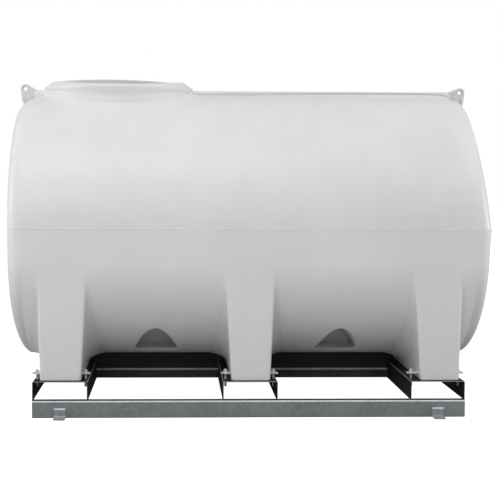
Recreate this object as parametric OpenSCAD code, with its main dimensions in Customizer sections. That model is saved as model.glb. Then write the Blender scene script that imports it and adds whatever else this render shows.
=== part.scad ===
// Horizontal fertilizer storage tank. A moulded polyethylene barrel with two shallow domed ends
// and three saddle legs is held down on a galvanised steel skid.
// X runs along the tank, Y across it and Z up. The origin is on the ground under its centre.

/* [Tank body] */
// Length of the straight barrel between the domed ends
barrel_l = 2960; // [2900:4:3100]
// Width of the tank across its flat belt
tank_w = 2010; // [1900:10:2100]
// Height of the tank from the belly to the crown
tank_h = 1810; // [1700:10:1900]
// Height of the parting line above the belly
seam_h = 907; // [860:1:950]
// Height of the flat belt below the parting line
belt_h = 210; // [120:5:260]
// Thickness of the moulded wall
wall_t = 10; // [8:1:14]
// Radius of the corner between the barrel and each end
knuckle_r = 85; // [60:5:140]
// Radius of the shallow dish of each end
dish_r = 8400; // [5000:100:9000]
// How far the parting line stands proud of the wall
seam_out = 5; // [2:1:8]

/* [Belly recesses] */
// Radius of each recess at the belly's surface
recess_r = 150; // [110:5:180]
// Radius of each recess at its blind end
recess_end_r = 105; // [70:5:120]
// Height of the recess axis above the belly
recess_up = 98; // [80:1:130]
// Distance of the blind end from the tank's centre line
recess_end_y = 200; // [160:10:400]

/* [Legs] */
// Distance from one leg to the next
leg_pitch = 1217; // [1100:1:1240]
// Width of a leg at its foot
foot_w = 260; // [220:5:280]
// How much each flank of the middle leg leans out
leg_flare = 44; // [15:1:45]
// How much the outer flank of an end leg leans out
leg_outer_flare = 22; // [10:1:30]
// How much the inner flank of an end leg leans out
leg_inner_flare = 52; // [30:1:55]
// How far the front of a leg is set back from the belt
leg_inset = 8; // [4:1:15]
// Rounding of the foot's corners
foot_r = 18; // [8:1:24]

/* [Manway] */
// Distance of the manway from the end of the barrel
manway_in = 597; // [580:1:680]
// Outer radius of the collar
collar_r = 520; // [470:5:540]
// Height of the collar's rim above the crown
collar_h = 84; // [60:1:100]
// Height and width of the slope under the rim
collar_slope = 50; // [30:1:60]
// Radius of the opening
manway_r = 400; // [350:5:410]
// Radius of the lid
lid_r = 444; // [430:1:450]
// Rise of the lid above the rim
lid_h = 16; // [12:1:30]

/* [Crown rib and lifting lugs] */
// Height of the rib above the crown
rib_h = 34; // [16:1:36]
// Width of the rib at its foot
rib_w = 84; // [60:2:110]
// Distance of each lifting hole beyond the end of the barrel
lug_out = 58; // [45:1:66]
// Height of each lifting hole above the crown
lug_up = 38; // [34:1:48]
// Radius of the lifting hole
lug_hole_r = 15; // [10:1:18]
// Radius of the rounded eye
lug_r = 33; // [28:1:36]
// Thickness of a lug
lug_t = 44; // [30:2:60]

/* [Skid] */
// Height of each long rail
rail_h = 112; // [90:2:140]
// Depth of a rail's flanges
rail_flange = 65; // [50:1:80]
// Thickness of the rail
rail_t = 6; // [4:1:8]
// How far the rails stand out past the belt
rail_out = 12; // [5:1:30]
// Width of each cradle
cradle_w = 354; // [330:2:370]
// Height of each cradle
cradle_h = 122; // [100:2:140]
// Thickness of the cradle's folded plate
cradle_t = 6; // [4:1:8]
// Height of the centre beams
beam_h = 70; // [50:2:80]
// Depth of the centre beams
beam_d = 50; // [40:2:60]
// Thickness of the black bearers under the belly
bearer_t = 40; // [30:2:50]

/* [Anchors] */
// Width of each anchor bracket
anchor_w = 72; // [60:2:90]
// Height of each anchor bracket
anchor_h = 64; // [50:2:90]
// How far the foot of an anchor reaches out from the rail
anchor_d = 90; // [70:2:110]
// Thickness of the anchor plate
anchor_t = 8; // [6:1:10]
// Radius of the anchor's bolt hole
anchor_hole_r = 9; // [7:1:11]

/* [Hold-down] */
// Width of each hold-down bar
bar_w = 60; // [50:2:70]
// Thickness of each hold-down bar
bar_t = 9; // [8:1:12]
// Height of the bar above the cradle
bar_up = 34; // [28:1:50]
// Distance of each bar from the tank's centre line
bar_y = 885; // [840:5:920]
// Radius of each stud
stud_r = 8; // [6:1:10]

/* [Hidden] */

belly_up = 72;                      // the belly's underside above the feet
foot_z = rail_h + cradle_h;         // height of the feet above the ground
belly_z = foot_z + belly_up;        // height of the belly's underside
seam_z = belly_z + seam_h;
belt_z = seam_z - belt_h;
crown_z = belly_z + tank_h;
half_w = tank_w / 2;
half_l = barrel_l / 2;
manway_x = half_l - manway_in;
lug_x = half_l + lug_out;
arc_n = 28;                         // steps along each half of the section
knuckle_n = 6;
dish_n = 5;
rail_y = half_w + rail_out;         // outer face of the rails
leg_y = half_w - leg_inset;         // end faces of the legs
cradle_y = rail_y - 2 * rail_t;     // ends of the cradles
rail_half_l = leg_pitch + cradle_w / 2;
stud_x = (foot_w + cradle_w) / 4 + 2;
bar_z = foot_z + bar_up;
bar_over = 9;                       // how far a bar runs past each side of the cradle
bar_l = cradle_w + 2 * bar_over;
nut_h = 13;
nut_r = 13.9;
through = 40;                       // length that reaches well past a wall or plate it cuts
beside = 200;                       // width that reaches well past a leg's sides
inside_up = 500;                    // a height inside the tank, above the seam and under its crown
bead_h = 8;                         // height of the bead at the parting line
beam_lift = 2;                      // weld gap under the centre beams
beam_t = 5;
bend_step = 15;                     // degrees between the points of a rounded foot
hole_n = 48;                        // facets of the bolt holes
stud_below = 50;                    // length of a stud under the cradle's plate
stud_above = 9;                     // length of a stud over its nut
gap = 1;                            // clearance of the bars and studs in their holes
recess_flare = 40;                  // extra radius of a recess where it leaves the belly
lug_lean = 62;                      // lean of a lug's inner edge, in degrees
round_n = 160;                      // facets of the large round parts

plastic = [0.9, 0.9, 0.9];
steel = [0.62, 0.65, 0.66];
dark_steel = [0.25, 0.27, 0.28];

// Upper half of the tank's section, an ellipse drawn from front to rear, in a wall inset by i
function upper_arc(i) = [
    for (k = [0:arc_n]) let (a = 180 * k / arc_n)
    [-(half_w - i) * cos(a), seam_z + (crown_z - seam_z - i) * sin(a)]
];

// Lower half of the section, from rear to front: the flat belt and an ellipse under it
function lower_arc(i) = [
    for (k = [0:arc_n]) let (a = 180 * k / arc_n)
    [(half_w - i) * cos(a), belt_z - (belt_z - belly_z - i) * sin(a)]
];

// The same with the belt carried up to the parting line
function belly_arc(i) = concat([[half_w - i, seam_z]], lower_arc(i), [[i - half_w, seam_z]]);

function section(i) = concat(upper_arc(i), lower_arc(i));
function reversed(p) = [for (k = [len(p) - 1:-1:0]) p[k]];

// The end's outline in plan, from the barrel towards the pole, in a wall inset by i. Each point
// is its distance out from the barrel and its half width, and the section keeps its shape.
knuckle_y = half_w - knuckle_r;
dish_x = -sqrt(pow(dish_r - knuckle_r, 2) - pow(knuckle_y, 2));
knuckle_a = asin(knuckle_y / (dish_r - knuckle_r));
end_h = dish_x + dish_r;
function end_outline(i) = concat(
    [for (k = [0:knuckle_n]) let (a = 90 + (knuckle_a - 90) * k / knuckle_n)
        [(knuckle_r - i) * cos(a), knuckle_y + (knuckle_r - i) * sin(a)]],
    [for (k = [1:dish_n - 1]) let (a = knuckle_a * (1 - k / dish_n))
        [dish_x + (dish_r - i) * cos(a), (dish_r - i) * sin(a)]]
);

// The rings of the end's skin: the section, shrunk about the parting line to each half width
function end_rings(i) = [
    for (r = end_outline(i)) for (p = section(i)) let (share = r[1] / (half_w - i))
    [half_l + r[0], p[0] * share, seam_z + (p[1] - seam_z) * share]
];

// A profile in Y and Z carried along X, centred
module along_x(l) {
    rotate([90, 0, 90]) linear_extrude(height = l, center = true) children();
}

// A profile in X and Z carried along Y, centred
module along_y(l) {
    rotate([90, 0, 0]) linear_extrude(height = l, center = true) children();
}

module barrel_solid(i = 0) {
    along_x(barrel_l + through) polygon(section(i));
}

module barrel_top() {
    color(plastic) difference() {
        along_x(barrel_l) polygon(concat(upper_arc(0), reversed(upper_arc(wall_t))));
        translate([-manway_x, 0, seam_z + inside_up]) cylinder(r = manway_r, h = tank_h, $fn = round_n);
    }
}

// One blind recess, its axis level and pointing out to the front
module recess(grow) {
    run = half_w - recess_end_y;
    translate([0, -recess_end_y + grow, belly_z + recess_up]) rotate([90, 0, 0])
        cylinder(r1 = recess_end_r + grow, r2 = recess_r + recess_flare + grow, h = run + grow, $fn = 64);
}

module each_recess(grow) {
    for (sx = [-1, 1], turn = [0, 180])
        rotate([0, 0, turn]) translate([sx * leg_pitch / 2, 0, 0]) recess(grow);
}

module barrel_belly() {
    color(plastic) difference() {
        union() {
            along_x(barrel_l) polygon(concat(belly_arc(0), reversed(belly_arc(wall_t))));
            intersection() {
                along_x(barrel_l) polygon(section(0.5));
                each_recess(wall_t);
            }
        }
        each_recess(0);
    }
}

// The faces that join ring j to the next one, for rings of m points that start at point s
function band(s, j, m) = [
    for (k = [0:m - 1]) let (l = (k + 1) % m, a = s + j * m, b = a + m)
    each [[a + k, a + l, b + l], [a + k, b + l, b + k]]
];
function flipped(faces) = [for (f = faces) [f[2], f[1], f[0]]];
function fan(s, pole, m) = [for (k = [0:m - 1]) [s + k, s + (k + 1) % m, pole]];

// A shallow dished end as a closed shell: rings shrink to a pole, outside and inside, and a flat
// rim joins the two skins at the barrel
module end_shell() {
    m = len(section(0));
    n = len(end_outline(0));
    inside = n * m;
    last = (n - 1) * m;
    points = concat(
        end_rings(0), end_rings(wall_t),
        [[half_l + end_h, 0, seam_z], [half_l + end_h - wall_t, 0, seam_z]]
    );
    outer = concat([for (j = [0:n - 2]) each band(0, j, m)], fan(last, 2 * inside, m));
    inner = concat([for (j = [0:n - 2]) each band(inside, j, m)], fan(inside + last, 2 * inside + 1, m));
    rim = [for (k = [0:m - 1]) let (l = (k + 1) % m) each [[k, inside + l, l], [k, inside + k, inside + l]]];
    polyhedron(points, concat(outer, flipped(inner), rim));
}

module left_end() {
    color(plastic) mirror([1, 0, 0]) end_shell();
}

module right_end() {
    color(plastic) end_shell();
}

// Plan of the tank at the parting line, grown by g
function quarter_plan(g) = concat(
    [for (r = end_outline(-g)) [half_l + r[0], -r[1]]], [[half_l + end_h + g, 0]]
);
function half_plan(g) = let (q = quarter_plan(g))
    concat(q, [for (k = [len(q) - 2:-1:0]) [q[k][0], -q[k][1]]]);
function plan(g) = concat(half_plan(g), [for (p = half_plan(g)) [-p[0], -p[1]]]);

module parting_line() {
    color(plastic) translate([0, 0, seam_z - bead_h / 2]) linear_extrude(height = bead_h) difference() {
        polygon(plan(seam_out));
        polygon(plan(0));
    }
}

// Front view of a leg, inset by i: a rounded foot and two flanks that lean out as they rise
function leg_outline(lean_l, lean_r, i) = let (
    w = foot_w / 2 - i, r = foot_r - i / 2, z = foot_z + i, t = seam_z
) concat(
    [for (a = [180:bend_step:270]) [-w + r + r * cos(a), z + r + r * sin(a)]],
    [for (a = [270:bend_step:360]) [w - r + r * cos(a), z + r + r * sin(a)]],
    [[w + lean_r, t], [-w - lean_l, t]]
);

// Side view of a leg, inset by i
function leg_side(i) = let (w = leg_y - i, r = foot_r - i / 2, z = foot_z + i) concat(
    [for (a = [180:bend_step:270]) [-w + r + r * cos(a), z + r + r * sin(a)]],
    [for (a = [270:bend_step:360]) [w - r + r * cos(a), z + r + r * sin(a)]],
    [[w, seam_z], [-w, seam_z]]
);

module leg_solid(lean_l, lean_r, i) {
    intersection() {
        along_y(2 * half_w) polygon(leg_outline(lean_l, lean_r, i));
        along_x(foot_w + beside) polygon(leg_side(i));
    }
}

module bar_slot(grow) {
    for (sy = [-1, 1])
        translate([0, sy * bar_y, bar_z + bar_t / 2])
        cube([foot_w + beside, bar_w + 2 * grow, bar_t + 2 * grow], center = true);
}

module leg(lean_l, lean_r) {
    color(plastic) difference() {
        union() {
            difference() {
                leg_solid(lean_l, lean_r, 0);
                leg_solid(lean_l, lean_r, wall_t);
            }
            intersection() {
                leg_solid(lean_l, lean_r, 0.5);
                bar_slot(gap + wall_t);
            }
        }
        bar_slot(gap);
        barrel_solid();
    }
}

module left_leg() {
    translate([-leg_pitch, 0, 0]) leg(leg_outer_flare, leg_inner_flare);
}

module middle_leg() {
    leg(leg_flare, leg_flare);
}

module right_leg() {
    translate([leg_pitch, 0, 0]) leg(leg_inner_flare, leg_outer_flare);
}

module manway_collar() {
    rim_z = crown_z + collar_h;
    color(plastic) difference() {
        translate([-manway_x, 0, 0]) rotate_extrude($fn = round_n) polygon([
            [manway_r, seam_z + inside_up], [collar_r, seam_z + inside_up], [collar_r, rim_z - collar_slope],
            [collar_r - collar_slope, rim_z], [manway_r, rim_z]
        ]);
        barrel_solid();
    }
}

// A shallow dome on a flat rim, with a plug ring that sits down inside the opening
module manway_lid() {
    rim_z = crown_z + collar_h;
    t = wall_t - 2;
    edge_h = 7;
    plug_h = 30;
    dome_n = 12;
    plug_n = 6;
    rise = lid_h - edge_h;
    dome_r = (lid_r * lid_r + rise * rise) / (2 * rise);
    dome_a = asin(lid_r / dome_r);
    plug_r = manway_r - 3;
    plug_a = asin((plug_r - t) / dome_r);
    color(plastic) translate([-manway_x, 0, rim_z]) rotate_extrude($fn = round_n) polygon(concat(
        [[plug_r - t, -plug_h], [plug_r, -plug_h], [plug_r, 0], [lid_r, 0]],
        [for (k = [0:dome_n]) let (a = dome_a * (1 - k / dome_n))
            [dome_r * sin(a), lid_h - dome_r * (1 - cos(a))]],
        [for (k = [0:plug_n]) let (a = plug_a * k / plug_n)
            [dome_r * sin(a), lid_h - t - dome_r * (1 - cos(a))]]
    ));
}

// One length of the rib from x1 to x2, with sloping sides
module rib_run(x1, x2) {
    w = rib_w / 2;
    slope = 12;
    shoulder_z = crown_z + 0.7 * rib_h;
    top_z = crown_z + rib_h;
    translate([(x1 + x2) / 2, 0, 0]) along_x(x2 - x1) polygon([
        [-w, crown_z - 2], [w, crown_z - 2],
        [w - slope, shoulder_z], [w - 2 * slope, top_z],
        [-w + 2 * slope, top_z], [-w + slope, shoulder_z]
    ]);
}

lug_z = crown_z + lug_up;
lug_foot_x = half_l - 22;           // where a lug meets the rib
lug_toe = 14;                       // how far a lug's outer edge runs below the end of its foot

module crown_rib() {
    color(plastic) {
        rib_run(-lug_foot_x + gap, -manway_x - collar_r - gap);
        rib_run(-manway_x + collar_r + gap, lug_foot_x - gap);
    }
}

// A lifting lug in X and Z: a round eye, an upright outer edge and a foot that follows the end
module lug() {
    foot = [for (r = end_outline(1)) if (half_l + r[0] < lug_x + lug_r - 2)
        [half_l + r[0], seam_z + (crown_z - seam_z) * r[1] / half_w]];
    rim = [for (a = [0:lug_lean / 8:180 - lug_lean]) [lug_x + lug_r * cos(a), lug_z + lug_r * sin(a)]];
    last = foot[len(foot) - 1];
    color(plastic) difference() {
        along_y(lug_t) polygon(concat(
            rim, [[lug_foot_x, crown_z + rib_h], [lug_foot_x, crown_z - 1]], foot,
            [[lug_x + lug_r, last[1] - lug_toe]]
        ));
        translate([lug_x, lug_t, lug_z]) rotate([90, 0, 0])
            cylinder(r = lug_hole_r, h = 2 * lug_t, $fn = hole_n);
    }
}

module left_lifting_lug() {
    mirror([1, 0, 0]) lug();
}

module right_lifting_lug() {
    lug();
}

// A channel h high and d deep with its web at y = 0 and its flanges towards +Y, corners folded
module channel(h, d, t) {
    r = t * 1.5;
    outer = concat(
        [[d, 0]], [for (a = [270:-15:180]) [r + r * cos(a), r + r * sin(a)]],
        [for (a = [180:-15:90]) [r + r * cos(a), h - r + r * sin(a)]], [[d, h]]
    );
    q = r - t;
    inner = concat(
        [[d, h - t]], [for (a = [90:15:180]) [r + q * cos(a), h - r + q * sin(a)]],
        [for (a = [180:bend_step:270]) [r + q * cos(a), r + q * sin(a)]], [[d, t]]
    );
    polygon(concat(outer, inner));
}

module rail() {
    translate([0, -rail_y, 0]) along_x(2 * rail_half_l) channel(rail_h, rail_flange, rail_t);
}

module front_rail() {
    color(steel) rail();
}

module rear_rail() {
    color(steel) rotate([0, 0, 180]) rail();
}

// A cradle: one plate folded down along both sides, with a hole for each stud
module cradle() {
    w = cradle_w / 2;
    r = cradle_t * 1.5;
    q = r - cradle_t;
    top = foot_z;
    outer = concat(
        [[-w, rail_h]], [for (a = [180:-15:90]) [-w + r + r * cos(a), top - r + r * sin(a)]],
        [for (a = [90:-15:0]) [w - r + r * cos(a), top - r + r * sin(a)]], [[w, rail_h]]
    );
    inner = concat(
        [[w - cradle_t, rail_h]], [for (a = [0:15:90]) [w - r + q * cos(a), top - r + q * sin(a)]],
        [for (a = [90:15:180]) [-w + r + q * cos(a), top - r + q * sin(a)]], [[-w + cradle_t, rail_h]]
    );
    color(dark_steel) difference() {
        along_y(2 * cradle_y) polygon(concat(outer, inner));
        each_stud() translate([0, 0, foot_z - through / 2])
            cylinder(r = stud_r + gap, h = through, $fn = hole_n);
    }
}

module each_stud() {
    for (sx = [-1, 1], sy = [-1, 1]) translate([sx * stud_x, sy * bar_y, 0]) children();
}

module left_cradle() {
    translate([-leg_pitch, 0, 0]) cradle();
}

module middle_cradle() {
    cradle();
}

module right_cradle() {
    translate([leg_pitch, 0, 0]) cradle();
}

beam_x1 = cradle_w / 2 + gap;
beam_x2 = leg_pitch - cradle_w / 2 - gap;

module centre_beam() {
    color(dark_steel) translate([(beam_x1 + beam_x2) / 2, -beam_d / 2, rail_h + beam_lift])
        along_x(beam_x2 - beam_x1) channel(beam_h, beam_d, beam_t);
}

module left_centre_beam() {
    mirror([1, 0, 0]) centre_beam();
}

module right_centre_beam() {
    centre_beam();
}

// A black board on the centre beam that holds up the belly, stepped over the cradles at its ends
module bearer() {
    low = rail_h + beam_lift + beam_h + gap / 2;
    high = belly_z - gap;
    step = foot_z + gap;
    reach1 = foot_w / 2 + 5;
    reach2 = leg_pitch - reach1;
    color([0.06, 0.07, 0.07]) along_y(bearer_t) polygon([
        [beam_x1, low], [beam_x2, low], [beam_x2, step], [reach2, step],
        [reach2, high], [reach1, high], [reach1, step], [beam_x1, step]
    ]);
}

module left_bearer() {
    mirror([1, 0, 0]) bearer();
}

module right_bearer() {
    bearer();
}

// A bracket on the rail's face: a foot on the ground, a bend, an upright and a folded lip
module anchor() {
    t = anchor_t;
    r = 16;
    q = r - t;
    lip = 22;
    y = -rail_y;
    outer = concat(
        [[y - anchor_d, 0]], [for (a = [270:bend_step:360]) [y - r + r * cos(a), r + r * sin(a)]],
        [[y, anchor_h], [y - lip, anchor_h], [y - lip, anchor_h - t], [y - t, anchor_h - t]]
    );
    inner = concat([for (a = [360:-15:270]) [y - r + q * cos(a), r + q * sin(a)]], [[y - anchor_d, t]]);
    color(steel) difference() {
        along_x(anchor_w) polygon(concat(outer, inner));
        translate([0, y - anchor_d * 0.6, -1]) cylinder(r = anchor_hole_r, h = t + 2, $fn = hole_n);
    }
}

module front_left_anchor() {
    translate([-leg_pitch, 0, 0]) anchor();
}

module front_right_anchor() {
    translate([leg_pitch, 0, 0]) anchor();
}

module rear_left_anchor() {
    translate([-leg_pitch, 0, 0]) rotate([0, 0, 180]) anchor();
}

module rear_right_anchor() {
    translate([leg_pitch, 0, 0]) rotate([0, 0, 180]) anchor();
}

// The two flat bars that pass through a leg, one at the front and one at the rear
module leg_bars() {
    color(steel) difference() {
        for (sy = [-1, 1])
            translate([0, sy * bar_y, bar_z + bar_t / 2]) cube([bar_l, bar_w, bar_t], center = true);
        each_stud() translate([0, 0, bar_z - through / 4])
            cylinder(r = stud_r + gap, h = through, $fn = hole_n);
    }
}

module left_leg_bars() {
    translate([-leg_pitch, 0, 0]) leg_bars();
}

module middle_leg_bars() {
    leg_bars();
}

module right_leg_bars() {
    translate([leg_pitch, 0, 0]) leg_bars();
}

// Four studs, each with a nut on the bar and one under the cradle
module leg_studs() {
    color(steel) each_stud() {
        translate([0, 0, foot_z - stud_below])
            cylinder(r = stud_r, h = stud_below + bar_up + bar_t + nut_h + stud_above, $fn = 32);
        translate([0, 0, bar_z + bar_t]) cylinder(r = nut_r, h = nut_h, $fn = 6);
        translate([0, 0, foot_z - cradle_t - nut_h]) cylinder(r = nut_r, h = nut_h, $fn = 6);
    }
}

module left_leg_studs() {
    translate([-leg_pitch, 0, 0]) leg_studs();
}

module middle_leg_studs() {
    leg_studs();
}

module right_leg_studs() {
    translate([leg_pitch, 0, 0]) leg_studs();
}

barrel_top();
barrel_belly();
left_end();
right_end();
parting_line();
left_leg();
middle_leg();
right_leg();
manway_collar();
manway_lid();
crown_rib();
left_lifting_lug();
right_lifting_lug();
front_rail();
rear_rail();
left_cradle();
middle_cradle();
right_cradle();
left_centre_beam();
right_centre_beam();
left_bearer();
right_bearer();
front_left_anchor();
front_right_anchor();
rear_left_anchor();
rear_right_anchor();
left_leg_bars();
middle_leg_bars();
right_leg_bars();
left_leg_studs();
middle_leg_studs();
right_leg_studs();
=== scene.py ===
import math

import bmesh
import bpy
import numpy as np
from mathutils import Matrix, Vector


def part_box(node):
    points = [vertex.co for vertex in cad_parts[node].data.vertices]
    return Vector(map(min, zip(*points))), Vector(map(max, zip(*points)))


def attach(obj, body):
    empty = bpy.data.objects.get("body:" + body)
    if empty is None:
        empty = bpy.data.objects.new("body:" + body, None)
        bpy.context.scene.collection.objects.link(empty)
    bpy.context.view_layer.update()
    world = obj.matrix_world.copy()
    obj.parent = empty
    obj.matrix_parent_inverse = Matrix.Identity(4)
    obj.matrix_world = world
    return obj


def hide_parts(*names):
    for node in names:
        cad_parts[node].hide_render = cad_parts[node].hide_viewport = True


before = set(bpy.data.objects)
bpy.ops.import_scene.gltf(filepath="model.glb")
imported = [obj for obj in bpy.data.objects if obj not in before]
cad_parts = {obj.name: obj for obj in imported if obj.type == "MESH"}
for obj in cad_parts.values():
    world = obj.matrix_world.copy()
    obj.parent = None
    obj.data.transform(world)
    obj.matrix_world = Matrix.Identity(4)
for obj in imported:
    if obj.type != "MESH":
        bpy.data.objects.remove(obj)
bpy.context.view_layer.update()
print("frame loaded,", len(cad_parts), "nodes")


def gridQuads(rows, cols, closeRows, closeCols):
    # the corner numbers of each face in a grid of points, whose last row or column may meet the first
    r = np.arange(rows if closeRows else rows - 1)[:, None]
    c = np.arange(cols if closeCols else cols - 1)[None, :]
    nextR, nextC = (r + 1) % rows, (c + 1) % cols
    corners = [r * cols + c, r * cols + nextC, nextR * cols + nextC, nextR * cols + c]
    return np.stack(corners, -1).reshape(-1, 4)


def markRims(mesh):
    # the edges of an open sheet stay crisp when it is given a wall
    edgeOf, sharp = np.empty(len(mesh.loops), np.int32), np.empty(len(mesh.edges), bool)
    mesh.loops.foreach_get("edge_index", edgeOf)
    mesh.edges.foreach_get("use_edge_sharp", sharp)
    mesh.edges.foreach_set("use_edge_sharp", sharp | (np.bincount(edgeOf, minlength=len(sharp)) == 1))


joining = {"weld": 2e-5, "sliver": 1e-6}  # points closer than this are one, and edges shorter than this go


def addPiece(name, patches, material, replaces=(), sharpAngle=40, wall=0.0):
    # patches are grids of points, each with whether its rows and its columns close on themselves
    points, quads, start = [], [], 0
    for grid, closeRows, closeCols in patches:
        rows, cols = grid.shape[:2]
        points.append(grid.reshape(-1, 3))
        quads.append(gridQuads(rows, cols, closeRows, closeCols) + start)
        start += rows * cols
    points, quads = np.concatenate(points), np.concatenate(quads)
    mesh = bpy.data.meshes.new(name)
    mesh.from_pydata(points.tolist(), [], quads.tolist())
    work = bmesh.new()
    work.from_mesh(mesh)
    bmesh.ops.remove_doubles(work, verts=work.verts, dist=joining["weld"])
    bmesh.ops.dissolve_degenerate(work, edges=work.edges, dist=joining["sliver"])
    bmesh.ops.recalc_face_normals(work, faces=work.faces)
    work.to_mesh(mesh)
    work.free()
    mesh.shade_smooth()
    mesh.set_sharp_from_angle(angle=math.radians(sharpAngle))
    markRims(mesh)
    piece = bpy.data.objects.new(name, mesh)
    bpy.context.scene.collection.objects.link(piece)
    piece.data.materials.append(material)
    if wall:
        solidify = piece.modifiers.new("wall", "SOLIDIFY")
        solidify.thickness = wall
        solidify.offset = -1
    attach(piece, "root")
    if replaces:
        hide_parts(*replaces)


def smoothStep(x, low, high):
    # rises from 0 at low to 1 at high, level at both ends
    t = np.clip((x - low) / (high - low), 0, 1)
    return t * t * (3 - 2 * t)


def along(*stops):
    # numbers that run through the stops, each given as (value, steps to the next one)
    values = [np.linspace(a, b, n, endpoint=False) for (a, n), (b, _) in zip(stops[:-1], stops[1:])]
    return np.concatenate(values + [[stops[-1][0]]])


def coonsPatch(front, right, rear, left):
    # the smooth sheet inside four edges: front and rear run left to right, left and right run front to rear
    u = np.linspace(0, 1, len(front))[None, :, None]
    v = np.linspace(0, 1, len(left))[:, None, None]
    corners = (1 - v) * ((1 - u) * front[0] + u * front[-1]) + v * ((1 - u) * rear[0] + u * rear[-1])
    return (1 - v) * front[None] + v * rear[None] + (1 - u) * left[:, None] + u * right[:, None] - corners


class Wire:
    # a value in a material; the operators add Math nodes
    def __init__(self, finish, socket):
        self.finish, self.socket = finish, socket

    def __add__(self, other): return self.finish.math("ADD", self, other)
    def __radd__(self, other): return self.finish.math("ADD", other, self)
    def __sub__(self, other): return self.finish.math("SUBTRACT", self, other)
    def __rsub__(self, other): return self.finish.math("SUBTRACT", other, self)
    def __mul__(self, other): return self.finish.math("MULTIPLY", self, other)
    def __rmul__(self, other): return self.finish.math("MULTIPLY", other, self)


class Finish:
    # a material, or a world, while its nodes are being laid
    def __init__(self, name, world=False):
        self.material = bpy.data.worlds.new(name) if world else bpy.data.materials.new(name)
        self.material.use_nodes = True
        self.tree = self.material.node_tree
        self.tree.nodes.clear()
        self.place = self.node("ShaderNodeTexCoord", out="Generated" if world else "Object")

    def node(self, kind, settings=None, sockets=None, out=0):
        made = self.tree.nodes.new(kind)
        for key, value in (settings or {}).items():
            setattr(made, key, value)
        for key, value in (sockets or {}).items():
            self.feed(made.inputs[key], value)
        return Wire(self, made.outputs[out]) if out is not None else None

    def feed(self, socket, value):
        if isinstance(value, Wire):
            self.tree.links.new(value.socket, socket)
        elif isinstance(value, tuple) and socket.type == "RGBA":
            socket.default_value = (*value[:3], 1)
        else:
            socket.default_value = value

    def math(self, operation, a, b=0.0):
        return self.node("ShaderNodeMath", {"operation": operation}, {0: a, 1: b})

    def ramp(self, x, low, high, lowOut=0.0, highOut=1.0):
        limits = {"From Min": low, "From Max": high, "To Min": lowOut, "To Max": highOut}
        return self.node("ShaderNodeMapRange", {"interpolation_type": "SMOOTHSTEP"}, {"Value": x, **limits})

    def blend(self, share, a, b):
        return self.node("ShaderNodeMix", {"data_type": "RGBA"}, {0: share, 6: a, 7: b}, out=2)

    def stretched(self, x=1.0, y=1.0, z=1.0):
        return self.node("ShaderNodeMapping", None, {"Vector": self.place, "Scale": (x, y, z)})

    def noise(self, scale, detail=3.0, roughness=0.5, vector=None):
        return self.node("ShaderNodeTexNoise", None, {"Vector": vector or self.place, "Scale": scale,
                                                      "Detail": detail, "Roughness": roughness})

    def axes(self):
        return [self.node("ShaderNodeSeparateXYZ", None, {"Vector": self.place}, out=k) for k in "XYZ"]

    def rays(self, kind):
        return self.node("ShaderNodeLightPath", out=kind)

    def bump(self, height, strength, distance):
        sockets = {"Height": height, "Strength": strength, "Distance": distance}
        return self.node("ShaderNodeBump", None, sockets)

    def done(self, **sockets):
        named = {key.replace("_", " "): value for key, value in sockets.items()}
        surface = self.node("ShaderNodeBsdfPrincipled", None, named)
        self.node("ShaderNodeOutputMaterial", None, {"Surface": surface}, out=None)
        return self.material


# the sizes are scales of noise, larger for finer marks, and bump is its strength and depth
plasticLook = {"colour": (0.860, 0.859, 0.858), "shade": (0.820, 0.820, 0.818), "cloudSize": 1.6,
               "patchSize": 9, "streakSize": 7, "grainSize": 260, "gloss": 0.42, "bump": (0.12, 0.004),
               "dustAndShadeLow": 0.25, "dustAndShadeHigh": 1.05, "foot": 1.0}


def mouldedPlastic(name, look):
    # rotomoulded polyethylene: an even pale skin with a faint cloudiness and an orange peel grain;
    # foot is the share of its brightness left near the ground, partly dust and partly painted shade
    f = Finish(name)
    cloud = f.noise(look["cloudSize"], 4, 0.55)
    patch = f.noise(look["patchSize"], 3, 0.6)
    streak = f.noise(look["streakSize"], 3, 0.5, f.stretched(1, 1, 0.12))
    colour = f.blend(f.ramp(cloud * 0.7 + streak * 0.3, 0.35, 0.66), look["colour"], look["shade"])
    dustAndShade = tuple(c * look["foot"] for c in look["colour"])
    colour = f.blend(f.ramp(f.axes()[2], look["dustAndShadeLow"], look["dustAndShadeHigh"], 1.0, 0.0), colour, dustAndShade)
    grain = f.noise(look["grainSize"], 2, 0.5)
    peel = f.noise(look["grainSize"] * 0.22, 3, 0.5)
    normal = f.bump(grain * 0.5 + peel, *look["bump"])
    rough = look["gloss"] + (patch - 0.5) * 0.16 + (grain - 0.5) * 0.08
    return f.done(Base_Color=colour, Roughness=rough, Normal=normal, IOR=1.5)


steelLook = {"colour": (0.30, 0.315, 0.32), "light": (0.355, 0.365, 0.365), "dark": (0.25, 0.265, 0.27),
             "gloss": 0.42, "metal": 0.6, "shine": 0.5, "flake": 60, "wobbleSize": 26, "wobble": 0.02,
             "cloudSize": 4, "runSize": 18, "fineSize": 420, "bump": (0.2, 0.0012),
             "bandEdge": 0.0006, "bands": ()}


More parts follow.
